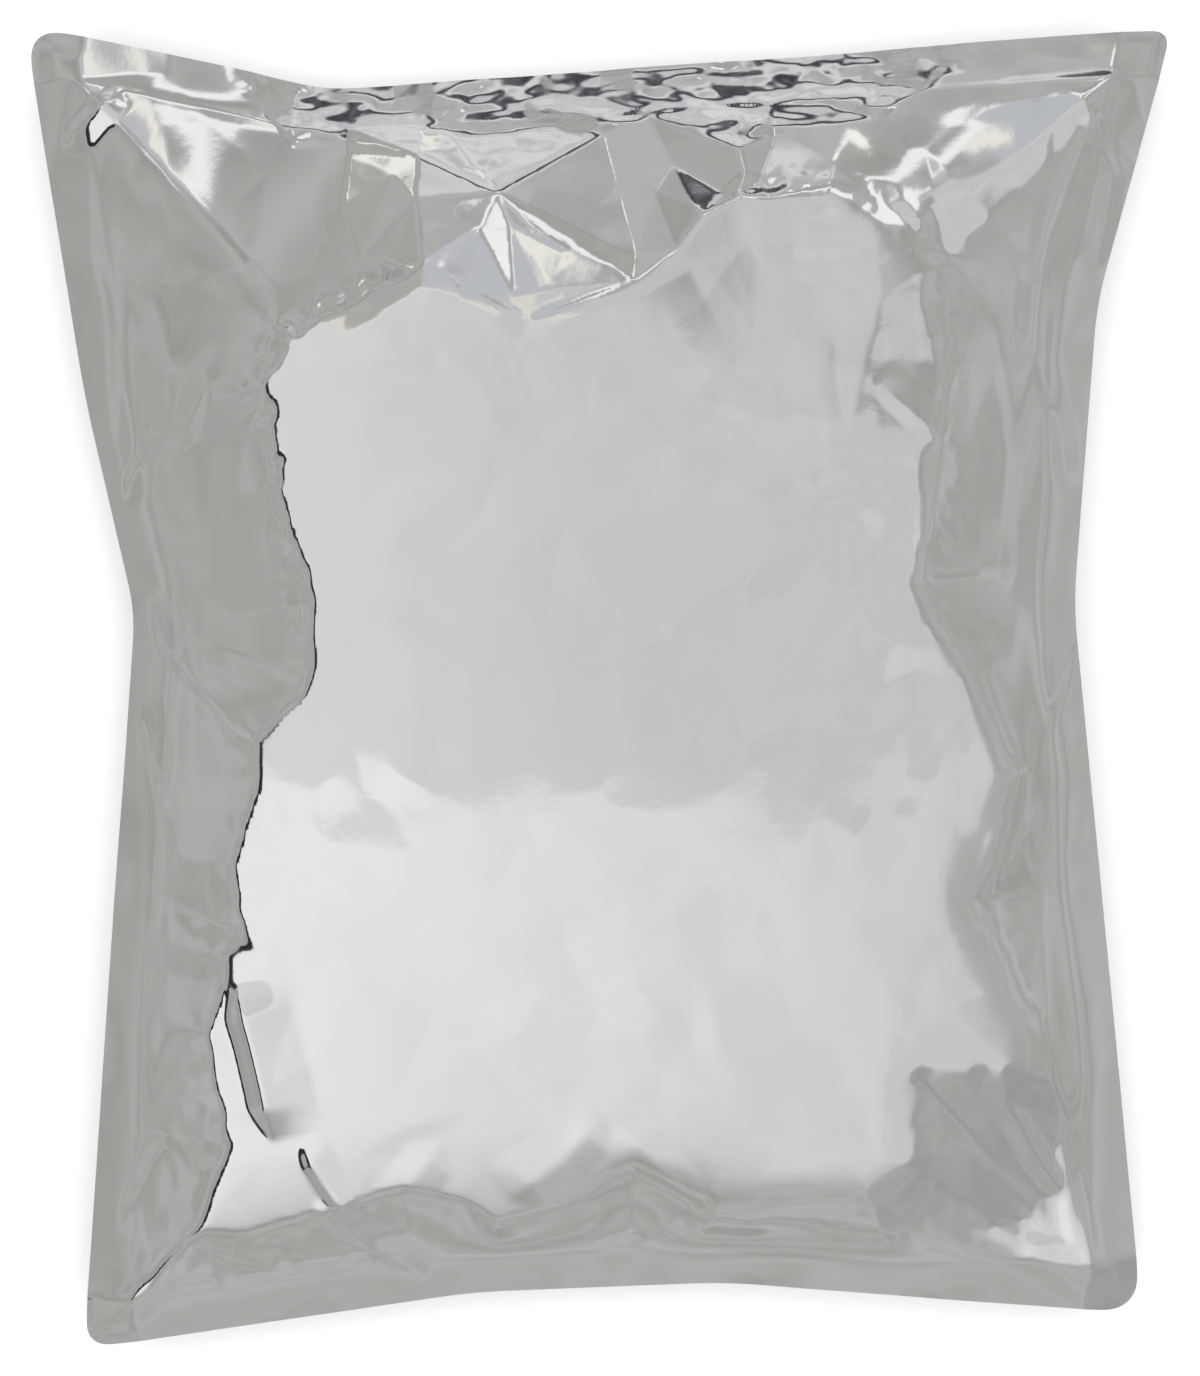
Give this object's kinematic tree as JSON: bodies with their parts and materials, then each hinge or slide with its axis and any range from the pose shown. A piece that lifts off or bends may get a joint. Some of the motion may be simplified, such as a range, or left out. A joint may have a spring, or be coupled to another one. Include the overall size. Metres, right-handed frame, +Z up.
{
  "type": "bag of roasted chickpeas",
  "caption": "Sealed silver foil pouch of roasted chickpeas, lying on its back: plain metallised film, heat-sealed all round, pillowed by its contents and creased near its seals.",
  "frame": {"origin": "middle of the pouch's outline in plan, on the surface that it lies on", "axes": "+Y towards the top seal, +X to the right as the shown side is seen, +Z up through the shown side"},
  "size_m": [0.1644, 0.1902, 0.0415],
  "materials": {
    "foil": "glossy unprinted silver metallised film, lightly crumpled"
  },
  "bodies": {
    "root": {"pouch": "foil"}
  },
  "joints": []
}
